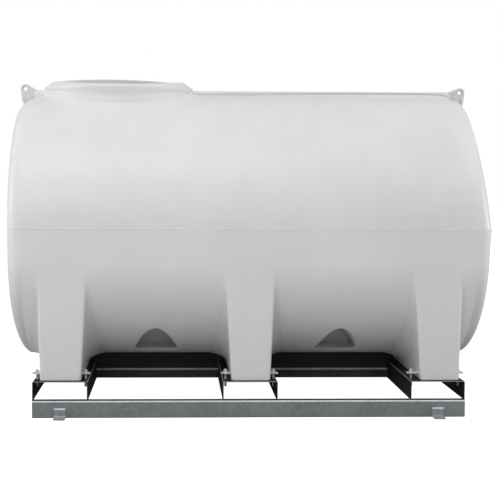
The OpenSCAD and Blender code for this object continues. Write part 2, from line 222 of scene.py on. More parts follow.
def galvanisedSteel(name, look):
    # hot dip zinc: flat crystals of slightly different greys, dull runs between them and small stains;
    # each band is a range of heights with a colour of its own: a painted highlight along a lit edge,
    # painted shade on a shaded flange, or a dark strip along the foot
    f = Finish(name)
    wobble = f.noise(look["wobbleSize"], 3, 0.6)
    step = f.node("ShaderNodeVectorMath", {"operation": "SCALE"}, {0: wobble, "Scale": look["wobble"]})
    place = f.node("ShaderNodeVectorMath", {"operation": "ADD"}, {0: f.place, 1: step})
    cell = f.node("ShaderNodeTexVoronoi", {"feature": "F1"}, {"Vector": place, "Scale": look["flake"]},
                  out="Color")
    crystal = f.node("ShaderNodeSeparateColor", None, {"Color": cell})
    cloud = f.noise(look["cloudSize"], 4, 0.6)
    run = f.noise(look["runSize"], 3, 0.55, f.stretched(1, 1, 0.15))
    colour = f.blend(f.ramp(crystal, 0.1, 0.95), look["dark"], look["colour"])
    colour = f.blend(f.ramp(cloud, 0.42, 0.72) * 0.7, colour, look["light"])
    colour = f.blend(f.ramp(run, 0.6, 0.75) * 0.35, colour, look["dark"])
    height = f.axes()[2]
    metal = look["metal"]
    soft = look["bandEdge"]
    for low, high, tint in look["bands"]:
        above = f.ramp(height, low - soft, low + soft)
        inside = above * f.ramp(height, high - soft, high + soft, 1.0, 0.0)
        colour = f.blend(inside * (0.75 + crystal * 0.25), colour, tint)
        metal = metal * (1 - inside)
    fine = f.noise(look["fineSize"], 2, 0.5)
    rough = look["gloss"] + (crystal - 0.5) * 0.18 + (cloud - 0.5) * 0.2
    return f.done(Base_Color=colour, Roughness=rough, Metallic=metal, Specular_IOR_Level=look["shine"],
                  Normal=f.bump(fine + crystal * 0.5 + run, *look["bump"]))


# near-black: painted shade for the deep shadow between the belly and the centre beam
boardShadeLook = {"dark": (0.018, 0.027, 0.030), "light": (0.034, 0.046, 0.052), "grainSize": 90,
             "gloss": 0.55, "bump": (0.3, 0.002)}


def shadeBlackBoard(name, look):
    # dull black with a grain drawn out along the board; the black is painted shade for the deep shadow
    # under the belly
    f = Finish(name)
    grain = f.noise(look["grainSize"], 4, 0.6, f.stretched(0.15, 1, 1))
    colour = f.blend(f.ramp(grain, 0.3, 0.8), look["dark"], look["light"])
    rough = look["gloss"] + grain * 0.3
    return f.done(Base_Color=colour, Roughness=rough, Normal=f.bump(grain, *look["bump"]))


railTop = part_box("front_rail")[1][2]
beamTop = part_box("left_centre_beam")[1][2]
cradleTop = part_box("left_cradle")[1][2]
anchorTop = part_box("front_left_anchor")[1][2]
tankPlastic = mouldedPlastic("tankPlastic", plasticLook)
# the lugs and the ridge are written greyer than the tank they are moulded with: painted shade on their
# upright faces
lugPlasticPaintedShade = mouldedPlastic("lugPlasticPaintedShade", {
    **plasticLook, "colour": (0.72, 0.725, 0.73), "shade": (0.68, 0.69, 0.69)})
ribPlasticPaintedShade = mouldedPlastic("ribPlasticPaintedShade", {
    **plasticLook, "colour": (0.82, 0.82, 0.82), "shade": (0.78, 0.78, 0.78)})
# the legs and both ends darken towards the ground: painted shade where their lower faces fall into shadow,
# with some dust
legPlastic = mouldedPlastic("legPlastic", {**plasticLook, "foot": 0.895})
leftPlastic = mouldedPlastic("leftEndPlastic", {**plasticLook, "foot": 0.72})
rightPlastic = mouldedPlastic("rightEndPlastic", {**plasticLook, "foot": 0.66})
# the lid is darker than the tank: partly a greyer lid, partly painted shade on its front
lidGreyAndShadedPlastic = mouldedPlastic("lidGreyAndShadedPlastic", {
    **plasticLook, "colour": (0.60, 0.60, 0.60), "shade": (0.56, 0.56, 0.56)})

edgePast = 0.01  # a band that ends past the steel's edge covers all of it
# the rail's pale band under its top edge is a painted highlight, the near-black band above it painted shade
# on the top flange, and the lowest few millimetres are dark
railSteel = galvanisedSteel("railSteel", {
    **steelLook, "shine": 0.1,
    "bands": ((railTop - 0.0100, railTop - 0.0012, (0.90, 0.94, 0.97)),
              (railTop - 0.0012, railTop + edgePast, (0.01, 0.012, 0.014)),
              (-edgePast, 0.0045, (0.10, 0.11, 0.11)))})
# near-black all over: galvanised steel with painted shade for the deep shadow under the tank; the pale
# strip under its top edge is a painted highlight
cradleSteelPaintedShade = galvanisedSteel("cradleSteelPaintedShade", {
    **steelLook, "colour": (0.020, 0.026, 0.030), "light": (0.03, 0.036, 0.041),
    "dark": (0.013, 0.017, 0.020), "gloss": 0.55, "metal": 0.0, "shine": 0.1,
    "bands": ((cradleTop - 0.0050, cradleTop - 0.001, (0.40, 0.44, 0.46)),)})
# dark all over: galvanised steel with painted shade under the tank; the pale band at its top is a painted
# highlight
beamSteelPaintedShade = galvanisedSteel("beamSteelPaintedShade", {
    **steelLook, "colour": (0.060, 0.078, 0.095), "light": (0.08, 0.10, 0.12), "dark": (0.045, 0.06, 0.075),
    "gloss": 0.5, "metal": 0.1,
    "bands": ((beamTop - 0.0130, beamTop + edgePast, (0.95, 0.97, 0.98)),)})
# the pale band at the anchors' tops is a painted highlight
anchorSteel = galvanisedSteel("anchorSteel", {
    **steelLook, "colour": (0.40, 0.46, 0.47), "light": (0.48, 0.53, 0.54), "dark": (0.30, 0.36, 0.37),
    "metal": 0.35, "bands": ((anchorTop - 0.0085, anchorTop + edgePast, (0.93, 0.94, 0.95)),)})
# bright zinc plating, made paler still as painted light, since the bars and studs stand in the tank's shade
zincBrightPaintedLight = galvanisedSteel("zincBrightPaintedLight", {
    **steelLook, "colour": (0.78, 0.80, 0.82), "light": (0.86, 0.87, 0.88), "dark": (0.62, 0.64, 0.66),
    "flake": 160, "gloss": 0.34, "metal": 0.35})
boardPaintedShade = shadeBlackBoard("boardPaintedShade", boardShadeLook)
print("finishes ready")


def boxOf(node):
    low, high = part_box(node)
    return np.array(low), np.array(high)


topLow, topHigh = boxOf("barrel_top")
bellyLow = boxOf("barrel_belly")[0]
tank = {"beltHeight": 0.210, "wall": 0.010, "barrelEnd": 0.016}
halfL, halfW = topHigh[0], topHigh[1]
seamZ, crownZ, bellyZ = topLow[2], topHigh[2], bellyLow[2]
beltZ = seamZ - tank["beltHeight"]
upperH, lowerH = crownZ - seamZ, beltZ - bellyZ
barrelEnd = halfL - tank["barrelEnd"]


def topAt(y):
    # height of the upper half, an ellipse over the parting line
    return seamZ + upperH * np.sqrt(np.clip(1 - (y / halfW) ** 2, 0, 1))


nearCrown = 8  # the power of the height's share that keeps a change close to the crown
# -1 is the left end and 1 the right
shoulder = {-1: {"start": 1.20, "radius": 0.90, "side": 0.10, "crown": 0.85, "inward": 0.10},
            1: {"start": 1.30, "radius": 0.41, "side": 1.00, "crown": 0.55, "inward": 0.90}}


def giveWay(x, y):
    # how the top rounds off towards each end: past its start a parabola lowers it and draws it in, by one
    # share at the sides and another along the crown. Gives the parts kept of the height and of the width.
    rise = np.sqrt(np.clip(1 - (y / halfW) ** 2, 0, 1))
    tall, wide = np.ones_like(rise * x), np.ones_like(rise * x)
    for side, s in shoulder.items():
        drop = np.clip(side * x - s["start"], 0, None) ** 2 / (2 * s["radius"] * upperH)
        tall = tall - drop * (s["side"] + (s["crown"] - s["side"]) * rise ** nearCrown)
        wide = wide - drop * s["inward"] * rise ** 0.7
    return tall, wide


def crownAt(x):
    # height of the crown line along the barrel
    return seamZ + upperH * giveWay(x, np.zeros_like(x))[0]


def topSlope(y):
    # how steeply the upper half rises across the tank
    return -upperH * y / (halfW ** 2 * np.sqrt(np.clip(1 - (y / halfW) ** 2, 1e-6, 1)))


def bellyAt(y):
    # height of the lower half, an ellipse under the flat belt
    return beltZ - lowerH * np.sqrt(np.clip(1 - (y / halfW) ** 2, 0, 1))


def bellySlope(y):
    # how steeply the lower half rises across the tank
    return lowerH * y / (halfW ** 2 * np.sqrt(np.clip(1 - (y / halfW) ** 2, 1e-6, 1)))


rib = {"rise": 0.034, "tilt": 0.004, "tuck": 0.020, "flat": 0.010, "edge": 0.040, "foot": 0.0445,
       "swell": 0.004, "swellRight": 0.017, "swellFlat": 0.03, "swellReach": 0.15,
       "growFrom": -0.2, "growTo": 0.9, "fadeIn": 0.05, "fadeOut": 0.015, "tip": 0.012}


def ribTop(x):
    # height of the ridge over the level crown; it rises a little from left to right
    return rib["rise"] + rib["tilt"] * x


def ribAt(y):
    # a low ridge along the crown: a rounded top and a short upright foot on each side, full height 1
    side = np.abs(y)
    shoulderDrop, footDrop = 0.45, 0.55
    rounded = shoulderDrop * smoothStep(side, rib["flat"], rib["edge"])
    return 1 - rounded - footDrop * smoothStep(side, rib["edge"], rib["foot"])


ribX = boxOf("crown_rib")[1][0]


def crownSwell(x):
    # how far the skin swells up to the foot of the ridge; more to the right, and gone past the ridge's ends
    fade = 1 - smoothStep(np.abs(x), ribX - rib["fadeIn"], ribX + rib["fadeOut"])
    return (rib["swell"] + rib["swellRight"] * smoothStep(x, rib["growFrom"], rib["growTo"])) * fade


def closedRun(grid):
    # a run with its two ends drawn to a point in the middle of each
    ends = [np.broadcast_to(grid[k].mean(0), grid[k].shape)[None] for k in (0, -1)]
    return [(np.concatenate([ends[0], grid, ends[1]]), False, True)]


def barrelTop():
    # columns run over the crown from front to rear and rows along the tank: the height is the ellipse's
    # over the parting line, times the part kept by the shoulder, plus the swelling under the ridge
    y = -halfW * np.cos(np.linspace(0, np.pi, 141))
    middle = 1.15  # up to here on both sides the rows are far apart
    x = along((-barrelEnd, 16), (-middle, 30), (middle, 16), (barrelEnd, 1))
    gx, gy = np.meshgrid(x, y, indexing="ij")
    tall, wide = giveWay(gx, gy)
    swell = crownSwell(gx) * (1 - smoothStep(np.abs(gy), rib["swellFlat"], rib["swellReach"]))
    return np.stack([gx, gy * wide, seamZ + (topAt(gy) - seamZ) * tall + swell], -1)


def ribSkin(start, finish):
    # a bead laid along the crown, from (side, share of the height) pairs; its foot is undercut and its tip
    # sinks
    half = np.array([[0.030, -0.28], [0.036, 0.0], [0.0405, 0.2], [0.0445, 0.44],
                     [0.0442, 0.6], [0.0405, 0.8], [0.033, 0.93], [0.017, 1.0]])
    section = np.concatenate([half, [[0.0, 1.0]], half[::-1] * [-1, 1]])
    x = np.linspace(start, finish, 60)[:, None]
    high = section[None, :, 1]
    tip = np.clip((ribX + rib["tuck"] - np.abs(x)) / rib["tip"], 0, 1) ** 0.5
    base = crownAt(x) + crownSwell(x)
    ridge = crownZ + ribTop(x) - base
    y = section[None, :, 0] * (0.7 + 0.3 * tip)
    return np.stack([np.broadcast_to(x, y.shape), y, base + ridge * high * np.where(high > 0, tip, 1)], -1)


recess = {"x": 0.6130, "halfWidth": 0.142, "top": 0.545, "base": 0.390, "floor": 0.368, "blindEnd": 0.200,
          "mouth": 1.03, "inner": 0.80, "lip": 0.03, "dense": 0.17}


def recessDepth(x, z, y):
    # how far in a recess pushes the skin: full inside a parabola over a level floor, nothing past a wider
    # one
    across = (np.abs(np.abs(x) - recess["x"]) / recess["halfWidth"]) ** 2
    spread = (z - recess["base"]) / (recess["top"] - recess["base"]) + across
    inside = 1 - smoothStep(spread, recess["inner"], recess["mouth"])
    share = inside * smoothStep(z, recess["floor"], recess["base"])
    room = np.abs(y) - recess["blindEnd"]
    return share * (room + np.sqrt(room ** 2 + recess["lip"] ** 2)) / 2


def barrelBelly():
    # columns run down the belt, under the belly and up the far belt, and four recesses push the skin in
    edge = along((0, 4), (seamZ - beltZ, 1))[:-1]
    a = np.radians(along((0, 12), (30, 90), (76, 22), (104, 90), (150, 12), (180, 1)))
    y = np.concatenate([np.full(len(edge), -halfW), -halfW * np.cos(a), np.full(len(edge), halfW)])
    z = np.concatenate([seamZ - edge, beltZ - lowerH * np.sin(a), beltZ + edge + edge[1]])
    low, high = recess["x"] - recess["dense"], recess["x"] + recess["dense"]
    x = along((-barrelEnd, 12), (-high, 56), (-low, 14), (low, 56), (high, 12), (barrelEnd, 1))
    gx, gy = np.meshgrid(x, y, indexing="ij")
    gz = np.broadcast_to(z, gx.shape)
    return np.stack([gx, gy - np.sign(gy) * recessDepth(gx, gz, gy), gz], -1)


def sectionRing():
    # the tank's outline across, from the front of the parting line over the crown and back under the belly
    a = np.linspace(0, np.pi, 91)
    belt = along((0, 4), (seamZ - beltZ, 1))[1:-1]
    upper = np.stack([-halfW * np.cos(a), upperH * np.sin(a)], -1)
    down = np.stack([np.full(len(belt), halfW), -belt], -1)
    lower = np.stack([halfW * np.cos(a), beltZ - seamZ - lowerH * np.sin(a)], -1)
    up = np.stack([np.full(len(belt), -halfW), -belt[::-1]], -1)
    return np.concatenate([upper, down, lower, up])


# top and low hold how far an end leans in above and under the parting line, and the power it leans by
endShape = {
    -1: {"start": -0.012, "knuckle": 0.0915, "depth": 0.1470, "top": (0.11, 2.5), "low": (0.44, 2.6)},
    1: {"start": 0.0125, "knuckle": 0.0793, "depth": 0.1215, "top": (0.88, 0.9), "low": (0.42, 0.7)}}
crownLean = 0.4  # part of the top's lean that is left along the crown


def endOutline(side):
    # plan of an end from the barrel to its pole: a short straight, a tight knuckle, then a wide shallow
    # dish. Each row is the distance from the tank's middle, the half width and the distance past the
    # knuckle's start
    shape = endShape[side]
    k, depth, start = shape["knuckle"], shape["depth"], halfL + shape["start"]
    dishR = ((halfW - k) ** 2 + depth ** 2 - k ** 2) / (2 * (depth - k))
    meet = math.asin((halfW - k) / (dishR - k))
    a = np.pi / 2 - (np.pi / 2 - meet) * along((0, 1), (0.006, 1), (0.03, 14), (1, 1))
    b = meet * (1 - along((0, 3), (0.08, 36), (1, 1))[1:])
    past = np.concatenate([k * np.cos(a), depth - dishR + dishR * np.cos(b)])
    wide = np.concatenate([halfW - k + k * np.sin(a), dishR * np.sin(b)])
    rows = np.stack([start + past, wide, past], -1)
    return np.concatenate([[[barrelEnd, halfW, 0.0], [(barrelEnd + start) / 2, halfW, 0.0]], rows])


def endSurface(side, ringY, ringZ):
    # the section's outline shrinks towards the pole at the parting line as the end closes, and the end
    # leans in by a power of the height above or below that line
    outline = endOutline(side)
    share = outline[:, 1:2] / halfW
    height = ringZ * share
    (leanTop, powerTop), (leanLow, powerLow) = endShape[side]["top"], endShape[side]["low"]
    rise = np.sqrt(np.clip(1 - (ringY / halfW) ** 2, 0, 1))
    lean = leanTop * (1 - (1 - crownLean) * rise ** nearCrown)
    lean = lean * np.clip(height / upperH, 0, 1) ** powerTop
    lean = lean + leanLow * np.clip(-height / (seamZ - bellyZ), 0, 1) ** powerLow
    x = side * (outline[:, :1] - outline[:, 2:] * lean)
    tall, wide = giveWay(x, np.broadcast_to(ringY, x.shape))
    upper = ringZ > 0
    y = ringY * share * np.where(upper, wide, 1)
    return np.stack([x, y, seamZ + height * np.where(upper, tall, 1)], -1)


def endSkin(side):
    # one end with the whole of the tank's outline as its rim
    ring = sectionRing()
    return endSurface(side, ring[:, 0], ring[:, 1])


addPiece("barrelTop", [(barrelTop(), False, False)], tankPlastic, ["barrel_top"],
         60, tank["wall"])
addPiece("barrelBelly", [(barrelBelly(), False, False)], tankPlastic, ["barrel_belly"],
         60, tank["wall"])
for side, name, plastic in ((-1, "left", leftPlastic), (1, "right", rightPlastic)):
    addPiece(name + "End", [(endSkin(side), False, True)], plastic, [name + "_end"], 60,
             tank["wall"])
print("tank skins ready")

bead = {"proud": 0.0012, "half": 0.0070, "groove": 0.0016}


def partingBead():
    # a drip edge carried round the tank in plan: a slope out to a crisp lower lip, then a fine groove
    def endPath(side):
        quarter = endOutline(side)[:, :2] * [1, -1]
        return np.concatenate([quarter, quarter[-2::-1] * [1, -1]])

    barrelX = np.linspace(-barrelEnd, barrelEnd, 40)[1:-1]
    straight = np.stack([barrelX, np.full(len(barrelX), -halfW)], -1)
    path = np.concatenate([straight, endPath(1), -straight, -endPath(-1)])
    ahead = np.roll(path, -1, 0) - np.roll(path, 1, 0)
    ahead /= np.linalg.norm(ahead, axis=1)[:, None]
    outward = np.stack([ahead[:, 1], -ahead[:, 0]], -1)
    h, p, g = bead["half"], bead["proud"], bead["groove"]
    back = -0.004  # the bead's rear face, inside the tank's wall
    profile = np.array([[back, h], [-0.0003, h], [p * 0.3, h * 0.55], [p * 0.65, h * 0.1],
                        [p * 0.95, -h * 0.35], [p, -h * 0.5], [p * 0.9, -h * 0.62], [0.0, -h * 0.75],
                        [-g, -h * 0.85], [back, -h * 0.85]])
    flat = path[:, None] + outward[:, None] * profile[None, :, :1]
    return np.concatenate([flat, np.broadcast_to(seamZ + profile[None, :, 1:], flat.shape[:2] + (1,))], -1)


addPiece("partingLine", [(partingBead(), True, True)], tankPlastic, ["parting_line"], 35)

leg = {"corner": 0.020, "foot": 0.010, "flareX": 0.030, "spread": 0.110, "flareY": 0.0075, "rise": 0.075,
       "frontRise": 0.11, "shortest": 0.4, "crease": 0.55, "tuck": 0.003, "steps": (4, 12, 48)}


def legSides():
    # the four sides of a rounded plan: which way each point faces, and how far along its side it is
    bend, wide, long = leg["steps"]
    corner = np.linspace(0, 45, bend + 1)
    across = np.linspace(0, 1, wide + 1)
    back = (1 - np.cos(np.pi * np.linspace(0, 1, long + 1))) / 2
    sides = []
    for turn, run in ((-135, across), (-45, back), (45, across), (135, back)):
        face = np.concatenate([turn + corner[:-1], np.full(len(run), turn + 45), turn + 45 + corner[1:]])
        sides.append((np.radians(face), np.concatenate([np.zeros(bend), run, np.ones(bend)])))
    return sides


def legRing(wallX, inset, z, depth):
    # one loop round a leg at height z, a number or one for each point, and the way that each point faces;
    # wallX gives the leg's two flanks at a height
    loop = []
    r = leg["corner"]
    for k, (face, run) in enumerate(legSides()):
        u = (run, np.ones_like(run), 1 - run, np.zeros_like(run))[k]
        v = (np.zeros_like(run), run, np.ones_like(run), 1 - run)[k]
        loop.append(np.stack([u, v, face], -1)[:-1])
    u, v, face = np.concatenate(loop).T
    z = np.broadcast_to(z, u.shape)
    left, right = wallX(z)
    x = left + r + u * (right - left - 2 * r) + (r - inset) * np.cos(face)
    y = -depth + r + v * 2 * (depth - r) + (r - inset) * np.sin(face)
    return np.stack([x, y, z], -1), np.stack([np.cos(face), np.sin(face)], -1)


def legSkin(node):
    # walls that lean out as they rise, then a quadratic curve that turns each point of the wall into the
    # belly; the curve spreads as it goes under the tank
    low, high = boxOf(node)
    cradleLow, cradleHigh = boxOf(node.replace("_leg", "_cradle"))
    shift, footHalf, leanL, leanR = legStance[node]
    centre = (cradleLow[0] + cradleHigh[0]) / 2 + shift
    depth, footZ = high[1], low[2]
    tall = seamZ - footZ

    def wallX(z):
        share = (z - footZ) / tall
        return centre - footHalf - leanL * share, centre + footHalf + leanR * share

    rings = []
    foot = leg["foot"]
    for a in np.radians([0, 22, 45, 68, 90]):
        ring, n = legRing(wallX, foot * (1 - math.sin(a)), footZ + foot * (1 - math.cos(a)), depth)
        rings.append(ring)
    base = rings[-1]
    yC = base[:, 1] + leg["flareY"] * n[:, 1]
    zC = bellyAt(yC)
    zM = zC + bellySlope(yC) * (base[:, 1] - yC)
    under = np.clip(1 - (yC / depth) ** 2, 0, 1) * np.abs(n[:, 0])
    rise = leg["rise"] + (leg["frontRise"] - leg["rise"]) * n[:, 1] ** 2 + leg["spread"] * under
    wallZ = footZ + foot
    zW = np.maximum(zM - rise, wallZ + leg["shortest"] * (zM - wallZ))
    for t in np.linspace(0, 1, 11)[1:]:
        rings.append(legRing(wallX, 0.0, wallZ + t * (zW - wallZ), depth)[0])
    wallEnd, mid = rings[-1], legRing(wallX, 0.0, zM, depth)[0]
    reach = (leg["flareX"] + leg["spread"] * under) * n[:, 0]
    top = mid + np.stack([reach, leg["flareY"] * n[:, 1], zC - zM], -1)
    mid = mid + (top - mid) * leg["crease"] * under[:, None]
    for t in np.linspace(0, 1, 13)[1:]:
        rings.append((1 - t) ** 2 * wallEnd + 2 * t * (1 - t) * mid + t * t * top)
    slope = bellySlope(top[:, 1])
    inward = np.stack([np.zeros(len(top)), -slope, np.ones(len(top))], -1)
    inward /= np.linalg.norm(inward, axis=1)[:, None]
    rings.append(top + leg["tuck"] * inward)
    return np.stack(rings)


def ringPatch(ring):
    # the sheet that closes a loop of legRing, whose sides are k and j steps long
    bend, wide, long = leg["steps"]
    k, j = wide + 2 * bend, long + 2 * bend
    front, right = ring[:k + 1], ring[k:k + j + 1]
    rear, left = ring[k + j:2 * k + j + 1][::-1], np.concatenate([ring[2 * k + j:], ring[:1]])[::-1]
    return coonsPatch(front, right, rear, left)


# each leg's step off the middle of its cradle, half its foot, and how far its left and right sides lean
legStance = {"left_leg": (0.001, 0.131, 0.026, 0.050), "middle_leg": (0.004, 0.126, 0.064, 0.044),
             "right_leg": (0.015, 0.127, 0.066, 0.020)}
for name in legStance:
    skin = legSkin(name)
    patches = [(skin, False, True)] + [(ringPatch(skin[k]), False, False) for k in (0, -1)]
    addPiece(name.replace("_leg", "Leg"), patches, legPlastic, [name], 60)
print("legs ready")

collar = {"filletOut": 0.030, "frontOut": 0.075, "filletUp": 0.030, "frontUp": 0.010, "shoulder": 0.062,
          "corner": 0.013, "cornerDrop": 0.036, "waist": 0.007, "waistFade": 0.06, "saddle": 0.036,
          "cone": 0.55, "inside": 0.13, "sink": 0.004, "around": 240, "rise": 0.002, "steepest": 1.2,
          "below": 0.012, "frontBelow": 0.03, "filletShare": 0.6}
# edge is how far in and down each point of the lid's side lies
lid = {"lean": 0.009, "gap": 0.011, "under": 0.003, "crown": 0.022, "crownEnd": 0.985,
       "edge": ((0.003, 0.001), (0.0008, 0.003), (0, 0.007), (0, 0.03), (0.01, 0.034))}
collarLow, collarHigh = boxOf("manway_collar")
collarX, collarR = (collarLow[0] + collarHigh[0]) / 2, (collarHigh[0] - collarLow[0]) / 2
lidHigh = boxOf("manway_lid")[1]


def collarSkin():
    # a drum: its shoulder dips to the front and rear, its wall is slightly waisted, and a quadratic curve
    # lays it on the crown
    a = np.linspace(0, 2 * np.pi, collar["around"], endpoint=False)
    ca, sa = np.cos(a), np.sin(a)
    cornerZ = collarHigh[2] - collar["cornerDrop"]
    shoulderZ = cornerZ + collar["rise"] + collar["saddle"] * ca ** 2
    shoulderR, insideR, c = collarR - collar["shoulder"], collarR - collar["inside"], collar["corner"]
    rings = []

    def ring(r, z):
        rings.append(np.stack([collarX + r * ca, r * sa, z + 0 * a], -1))

    # the seat under the lid, up to the shoulder's inner edge
    for r, down in ((insideR, 0.03), (insideR, 0.012), (shoulderR - 0.012, 0.004),
                    (shoulderR - 0.006, 0.0005), (shoulderR, 0)):
        ring(r, shoulderZ - down)
    for t in (0.25, 0.5, 0.75, 1.0):
        ring(shoulderR + (collar["shoulder"] - c) * t, shoulderZ + (cornerZ - shoulderZ) * t)
    cornerH = 1.5 * c
    for t in np.radians([20, 40, 60, 75, 90]):
        ring(collarR - c + c * math.sin(t), cornerZ - cornerH * (1 - math.cos(t)))
    wallTop = cornerZ - cornerH
    reach = collarR + collar["filletOut"] + collar["frontOut"] * sa ** 2
    yC, yP = reach * sa, collarR * sa
    xC = collarX + reach * ca
    zC = seamZ + (topAt(yC) - seamZ) * giveWay(xC, yC)[0] + ribTop(xC) * ribAt(yC)
    zM = zC + np.clip(topSlope(yC), -collar["steepest"], collar["steepest"]) * (yP - yC)
    zM = np.maximum(zM, topAt(yP) - collar["below"] - collar["frontBelow"] * sa ** 2)
    room = (wallTop - zM) * collar["filletShare"]
    zW = zM + np.minimum(collar["filletUp"] + collar["frontUp"] * sa ** 2, room)
    fade = np.clip((wallTop - zW) / collar["waistFade"], 0, 1)
    for t in np.linspace(0, 1, 13)[1:]:
        waist = collar["waist"] * np.sin(np.pi * t) ** 2 * fade
        ring(collarR - waist, wallTop + (zW - wallTop) * t)
    wallEnd = rings[-1]
    mid = np.stack([collarX + collarR * ca, collarR * sa, zM], -1)
    top = np.stack([collarX + reach * ca, yC, zC], -1)
    mid = mid + (top - mid) * collar["cone"] * (sa ** 2)[:, None]
    for t in np.linspace(0, 1, 11)[1:]:
        rings.append((1 - t) ** 2 * wallEnd + 2 * t * (1 - t) * mid + t * t * top)
    ring(reach, zC - collar["sink"])
    ring(insideR, topAt(insideR * sa) - collar["sink"])
    return np.stack(rings)


def lidSkin():
    # a shallow cap, not quite level: a faint crown, a rounded edge, an upright side and a flat underside
    a = np.linspace(0, 2 * np.pi, collar["around"], endpoint=False)
    r, top = collarR - collar["shoulder"] - lid["gap"], lidHigh[2] - lid["under"]
    edgeZ = top - lid["crown"]
    profile = [(r * t, top - lid["crown"] * t * t) for t in np.linspace(0, lid["crownEnd"], 16)]
    profile += [(r - inward, edgeZ - down) for inward, down in lid["edge"]]
    profile = np.array(profile + [(0.0, profile[-1][1])])
    x = collarX + profile[:, :1] * np.cos(a)
    y = profile[:, :1] * np.sin(a)
    return np.stack([x, y, profile[:, 1:] - lid["lean"] * (x - collarX)], -1)


addPiece("manwayCollar", [(collarSkin(), True, True)], tankPlastic, ["manway_collar"], 50)
addPiece("manwayLid", [(lidSkin(), False, True)], lidGreyAndShadedPlastic, ["manway_lid"], 50)
ribEnd, ribInset = ribX + rib["tuck"], collarR - rib["tuck"]
ribRuns = ((-ribEnd, collarX - ribInset), (collarX + ribInset, ribEnd))
ribPatches = [part for run in ribRuns for part in closedRun(ribSkin(*run))]
addPiece("crownRib", ribPatches, ribPlasticPaintedShade, ["crown_rib"], 55)
print("manway ready")

lug = {"eyeR": 0.033, "holeR": 0.015, "half": 0.022, "edge": 0.007, "lean": 62, "footDrop": 0.085,
       "footOut": 0.02, "sink": 0.008, "toe": 0.021, "toeDrop": 0.052, "rounding": 6, "around": 220,
       "inset": 0.004, "holeEdge": ((0, 0.005), (0.0015, 0.0015), (0.005, 0))}
lugX, _, lugZ = boxOf("right_lifting_lug")[1] - lug["eyeR"]


def lugSkin(side):
    # an outline round the eye: a round top, an upright outer edge, a foot let into the end and a sloping
    # inner side. At each of its points a closed section runs from the hole's wall over one face, the
    # rounded edge and the other face, and back
    foot = endSurface(side, np.array([0.0]), np.array([upperH]))[:, 0] * [side, 1, 1]
    under = (foot[:, 2] > crownZ - lug["footDrop"]) & (foot[:, 0] < lugX + lug["footOut"])
    foot = foot[under][:, [0, 2]] - [0, lug["sink"]]
    a = np.radians(np.linspace(0, 180 - lug["lean"], 24))
    rim = np.stack([lugX + lug["eyeR"] * np.cos(a), lugZ + lug["eyeR"] * np.sin(a)], -1)
    innerX = ribX - lug["inset"]
    inner = np.array([[innerX, crownZ + ribTop(side * ribX)],
                      [innerX, crownAt(np.array([side * ribX]))[0] - lug["sink"]]])
    toe = np.array([[lugX + lug["toe"], crownZ - lug["toeDrop"]]])
    corners = np.concatenate([rim, inner, foot, toe, rim[:1]])
    length = np.concatenate([[0], np.cumsum(np.linalg.norm(np.diff(corners, axis=0), axis=1))])
    at = np.linspace(0, length[-1], lug["around"], endpoint=False)
    path = np.stack([np.interp(at, length, corners[:, 0]), np.interp(at, length, corners[:, 1])], -1)
    for _ in range(lug["rounding"]):
        path = (np.roll(path, 1, 0) + 2 * path + np.roll(path, -1, 0)) / 4
    ahead = np.roll(path, -1, 0) - np.roll(path, 1, 0)
    ahead /= np.linalg.norm(ahead, axis=1)[:, None]
    outward = np.stack([ahead[:, 1], -ahead[:, 0]], -1)
    spoke = path - [lugX, lugZ]
    spoke /= np.linalg.norm(spoke, axis=1)[:, None]
    h, e, hole = lug["half"], lug["edge"], lug["holeR"]
    t = np.radians([0, 30, 60, 90])
    edgeIn, edgeY = e * (1 - np.sin(t)), h - e * (1 - np.cos(t))
    columns = [([lugX, lugZ] + spoke * (hole + out), drop - h) for out, drop in lug["holeEdge"]]
    columns += [(path - outward * i, -y) for i, y in zip(edgeIn, edgeY)]
    columns += [(p, -y) for p, y in columns[::-1]]
    flat = np.stack([c[0] for c in columns], 1)
    y = np.broadcast_to(np.array([c[1] for c in columns]), flat.shape[:2])
    return np.stack([side * flat[..., 0], y, flat[..., 1]], -1)


for side, name in ((-1, "left"), (1, "right")):
    addPiece(name + "LiftingLug", [(lugSkin(side), True, True)], lugPlasticPaintedShade,
             [name + "_lifting_lug"], 50)
print("lugs ready")


def revolved(centre, profile, cols=24, shape=None):
    # a profile of (radius, height) pairs carried round an upright axis; shape gives each direction a limit
    a = np.linspace(0, 2 * np.pi, cols, endpoint=False)
    radius = np.repeat(np.array(profile)[:, :1], cols, 1)
    if shape is not None:
        radius = np.minimum(radius, shape(a)[None, :])
    heights = np.broadcast_to(np.array(profile)[:, 1:], radius.shape)
    return np.stack([centre[0] + radius * np.cos(a), centre[1] + radius * np.sin(a), heights], -1)


nut = {"flat": 0.0120, "corner": 0.0136, "high": 0.0128, "chamfer": 0.0022, "face": 0.95,
       "washerR": 0.0155, "washerH": 0.0026, "washerEdge": 0.0006}


def hexLimit(a):
    # distance to the flats of a hexagon in each direction
    return nut["flat"] / np.cos((a + np.pi / 6) % (np.pi / 3) - np.pi / 6)


def nutSkin(x, y, low):
    # a hexagon cut by a shallow cone at both faces, so its corners are chamfered
    high, c, slope = low + nut["high"], nut["corner"], nut["chamfer"]
    cut = nut["flat"] * nut["face"]
    profile = [(0.0, low), (cut, low), (c, low + slope), (c, high - slope), (cut, high), (0.0, high)]
    return revolved((x, y), profile, 48, hexLimit)


def washerSkin(x, y, low):
    # a round plate with a small chamfer at both faces
    r, e, high = nut["washerR"], nut["washerEdge"], low + nut["washerH"]
    profile = [(0.0, low), (r - e, low), (r, low + e), (r, high - e), (r - e, high), (0.0, high)]
    return revolved((x, y), profile, 32)


thread = {"pitch": 0.0020, "deep": 0.0009, "steps": 4, "around": 14, "plain": 0.001, "tip": 0.75}


